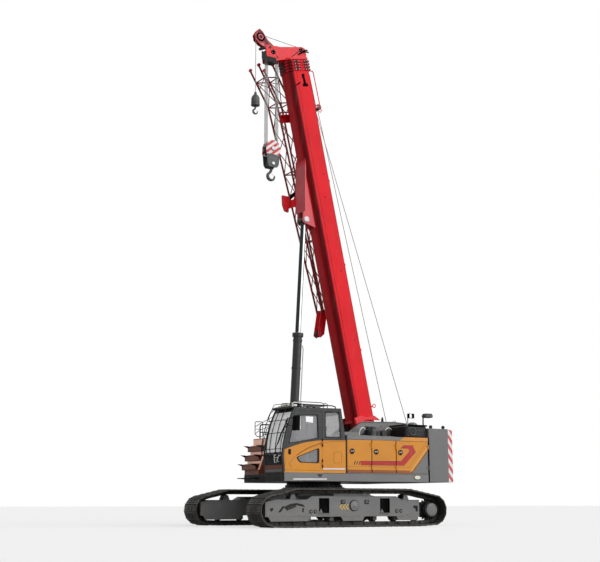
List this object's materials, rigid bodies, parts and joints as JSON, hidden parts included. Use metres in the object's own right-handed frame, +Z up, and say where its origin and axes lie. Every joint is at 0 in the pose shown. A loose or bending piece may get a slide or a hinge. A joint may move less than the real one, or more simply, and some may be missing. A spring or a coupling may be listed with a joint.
{
  "type": "telescopic crawler crane",
  "caption": "Crawler crane with a raised telescopic boom, luffing cylinder, two hoist hooks, a stowed lattice jib, side cab and rear counterweight.",
  "frame": {"origin": "on the ground under the slewing axis, midway between the tracks", "axes": "+X forward, the way the cab faces, +Y to the cab side, +Z up"},
  "size_m": [6.6435, 4.2, 13.4377],
  "materials": {
    "track": "worn",
    "undercarriage_grey": "satin",
    "dark_steel": "satin",
    "upper_grey": "satin",
    "body_yellow": "gloss",
    "cab_paint": "satin",
    "black_plastic": "matte",
    "step_brown": "satin",
    "window": "clear",
    "boom_red": "gloss",
    "chrome_rod": "polished",
    "wire_rope": "stranded"
  },
  "bodies": {
    "undercarriage": {"track_left": "track", "track_right": "track", "track_frame_left": "undercarriage_grey", "track_frame_right": "undercarriage_grey", "sprocket_left": "undercarriage_grey", "sprocket_right": "undercarriage_grey", "track_wheels_left": "undercarriage_grey", "track_wheels_right": "undercarriage_grey", "carbody": "undercarriage_grey", "slew_ring_lower": "dark_steel"},
    "upper": {"slew_ring_upper": "dark_steel", "deck": "upper_grey", "centre_frame": "upper_grey", "winches": "dark_steel", "hood_left": "upper_grey", "hood_right": "upper_grey", "air_housing": "black_plastic", "engine": "dark_steel", "counterweight": "upper_grey", "tank": "upper_grey", "step_box": "step_brown", "cab_shell": "cab_paint", "cab_glass": "window", "cab_fittings": "black_plastic", "mirrors": "black_plastic", "handrails": "black_plastic"},
    "cab_door": {"cab_door": "cab_paint", "door_glass": "window"},
    "boom_base": {"boom_base": "boom_red", "jib": "boom_red", "jib_carriers": "boom_red"},
    "boom_section_2": {"boom_section_2": "boom_red"},
    "boom_section_3": {"boom_section_3": "boom_red"},
    "boom_section_4": {"boom_section_4": "boom_red"},
    "boom_section_5": {"boom_section_5": "boom_red", "boom_head": "boom_red", "head_sheaves": "dark_steel"},
    "main_falls": {"main_falls": "wire_rope"},
    "main_block": {"main_block": "dark_steel"},
    "aux_fall": {"aux_fall": "wire_rope"},
    "aux_hook": {"aux_hook": "dark_steel"},
    "luff_barrel": {"luff_barrel": "upper_grey"},
    "luff_rod": {"luff_rod": "chrome_rod"},
    "service_door_left_1": {"service_door_left_1": "body_yellow"},
    "service_door_left_2": {"service_door_left_2": "body_yellow"},
    "service_door_left_3": {"service_door_left_3": "body_yellow"},
    "service_door_right_1": {"service_door_right_1": "body_yellow"},
    "service_door_right_2": {"service_door_right_2": "body_yellow"}
  },
  "joints": [
    {"name": "slew", "type": "hinge", "parent": "undercarriage", "child": "upper", "pos_m": [0, 0, 1.045], "axis": [0, 0, 1], "continuous": true},
    {"name": "boom_luff", "type": "hinge", "parent": "upper", "child": "boom_base", "pos_m": [-1.75, 0, 2.35], "axis": [0, -1, 0], "range_deg": [-77, 2]},
    {"name": "luff_cylinder_swing", "type": "hinge", "parent": "upper", "child": "luff_barrel", "pos_m": [0.69, 0, 1.55], "axis": [0, -1, 0], "range_deg": [-91.55, 2.39]},
    {"name": "luff_cylinder_stroke", "type": "slide", "parent": "luff_barrel", "child": "luff_rod", "axis": [-0.057, 0, 0.9984], "range_m": [-2.9367, 0.0768]},
    {"name": "telescope_2", "type": "slide", "parent": "boom_base", "child": "boom_section_2", "axis": [0.2101, 0, 0.9777], "range_m": [0, 7]},
    {"name": "telescope_3", "type": "slide", "parent": "boom_section_2", "child": "boom_section_3", "axis": [0.2101, 0, 0.9777], "range_m": [0, 7]},
    {"name": "telescope_4", "type": "slide", "parent": "boom_section_3", "child": "boom_section_4", "axis": [0.2101, 0, 0.9777], "range_m": [0, 7]},
    {"name": "telescope_5", "type": "slide", "parent": "boom_section_4", "child": "boom_section_5", "axis": [0.2101, 0, 0.9777], "range_m": [0, 7]},
    {"name": "main_rope_hang", "type": "hinge", "parent": "boom_section_5", "child": "main_falls", "pos_m": [1.3454, 0, 12.7498], "axis": [0, -1, 0], "range_deg": [-2.1, 77.1]},
    {"name": "main_hoist", "type": "slide", "parent": "main_falls", "child": "main_block", "axis": [0, 0, -1], "range_m": [-2.2, 8.5], "deforming": ["main_falls"]},
    {"name": "aux_rope_hang", "type": "hinge", "parent": "boom_section_5", "child": "aux_fall", "pos_m": [1.735, 0, 13.27], "axis": [0, -1, 0], "range_deg": [-2.1, 77.1]},
    {"name": "aux_hoist", "type": "slide", "parent": "aux_fall", "child": "aux_hook", "axis": [0, 0, -1], "range_m": [-1.2, 10.5], "deforming": ["aux_fall"]},
    {"name": "cab_door_hinge", "type": "hinge", "parent": "upper", "child": "cab_door", "pos_m": [0.6725, 1.515, 2], "axis": [0, 0, 1], "range_deg": [0, 150]},
    {"name": "service_door_left_1_hinge", "type": "hinge", "parent": "upper", "child": "service_door_left_1", "pos_m": [-0.8295, 1.5124, 1.77], "axis": [0, 0, 1], "range_deg": [0, 110]},
    {"name": "service_door_left_2_hinge", "type": "hinge", "parent": "upper", "child": "service_door_left_2", "pos_m": [-1.6035, 1.5124, 1.77], "axis": [0, 0, 1], "range_deg": [0, 110]},
    {"name": "service_door_left_3_hinge", "type": "hinge", "parent": "upper", "child": "service_door_left_3", "pos_m": [-2.6655, 1.5124, 1.77], "axis": [0, 0, 1], "range_deg": [0, 110]},
    {"name": "service_door_right_1_hinge", "type": "hinge", "parent": "upper", "child": "service_door_right_1", "pos_m": [-1.2875, -1.5124, 1.77], "axis": [0, 0, -1], "range_deg": [0, 110]},
    {"name": "service_door_right_2_hinge", "type": "hinge", "parent": "upper", "child": "service_door_right_2", "pos_m": [-2.6655, -1.5124, 1.77], "axis": [0, 0, -1], "range_deg": [0, 110]}
  ],
  "couplings": [
    {"joint": "luff_cylinder_swing", "follows": "boom_luff", "ratio": 1.1888},
    {"joint": "luff_cylinder_stroke", "follows": "boom_luff", "m_per_rad": 2.1848},
    {"joint": "telescope_3", "follows": "telescope_2", "ratio": 1},
    {"joint": "telescope_4", "follows": "telescope_2", "ratio": 1},
    {"joint": "telescope_5", "follows": "telescope_2", "ratio": 1},
    {"joint": "main_rope_hang", "follows": "boom_luff", "ratio": -1},
    {"joint": "aux_rope_hang", "follows": "boom_luff", "ratio": -1}
  ]
}
